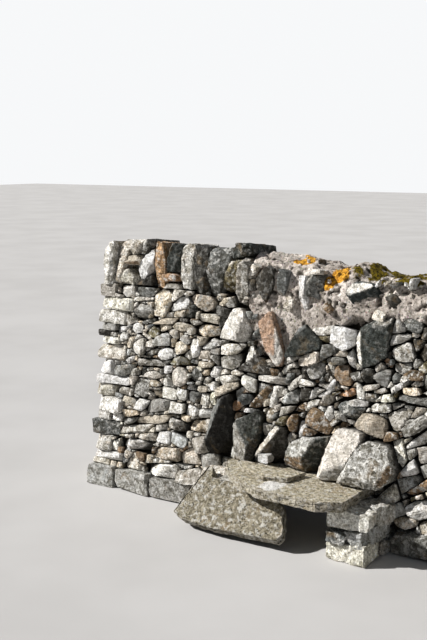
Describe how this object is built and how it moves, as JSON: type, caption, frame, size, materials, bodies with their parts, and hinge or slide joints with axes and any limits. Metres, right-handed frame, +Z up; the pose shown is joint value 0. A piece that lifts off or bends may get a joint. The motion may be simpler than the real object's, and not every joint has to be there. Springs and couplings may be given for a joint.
{
  "type": "dry stone wall with a gateway head and a small culvert",
  "caption": "Dry stone wall ending at a gateway, with upright cope stones, a mortared cap, and a slab-topped culvert under it.",
  "frame": {"origin": "on the underside of the footings, below the middle of the gateway head, in the middle of the wall's thickness", "axes": "+X along the wall away from the gateway, +Y from the front face (stream side, seen in the picture) to the back face, +Z up"},
  "size_m": [4.8, 1.41, 2.145],
  "materials": {
    "stone_grey": "rough split greywacke with pale crustose lichen",
    "stone_pale": "rough split stone, weathered pale, lichen spotted",
    "stone_dark": "dark blue-grey stone, rough split",
    "stone_rusty": "iron-stained brown stone, rough split",
    "stone_white": "stone with a thin white lichen crust",
    "slab_buff": "riven slab, buff grey with dark and pale lichen spots",
    "mortar": "coarse pitted lime and cement mortar, lichen and moss on top"
  },
  "bodies": {
    "root": {"footings": "stone_grey", "abutment_left": "stone_grey", "abutment_right": "stone_grey", "wing_left": "stone_grey", "wing_right": "stone_grey", "leaning_slab": "slab_buff", "lintel_front": "slab_buff", "lintel_upper": "slab_buff", "lintels_inner": "stone_grey", "hearting": "stone_dark", "through_stones": "stone_pale", "head_gateway": "stone_pale", "head_far": "stone_grey", "head_slab": "stone_pale", "boulder_dark_slab": "stone_dark", "boulder_grey_block": "stone_grey", "boulder_leaning": "stone_grey", "boulder_rusty": "stone_rusty", "boulder_white": "stone_white", "boulder_speckled": "stone_rusty", "stone_red_pointed": "stone_rusty", "stone_dark_triangle": "stone_dark", "stone_blue_grey": "stone_dark", "cap_stones": "stone_dark", "cap_bay_2": "mortar", "cap_bay_3": "mortar", "cap_bay_4": "mortar", "front_face_bay_1": "stone_pale", "back_face_bay_1": "stone_grey", "front_face_bay_2": "stone_pale", "back_face_bay_2": "stone_grey", "front_face_bay_3": "stone_pale", "back_face_bay_3": "stone_grey", "front_face_bay_4": "stone_pale", "back_face_bay_4": "stone_grey", "cope_stone_1": "stone_dark", "cope_stone_2": "stone_grey", "cope_stone_3": "stone_white", "cope_stone_4": "stone_rusty", "cope_stone_5": "stone_dark", "cope_stone_6": "stone_white", "cope_stone_7": "stone_grey", "cope_stone_8": "stone_grey", "cope_stone_9": "slab_buff", "cope_stone_10": "stone_dark"}
  },
  "joints": []
}
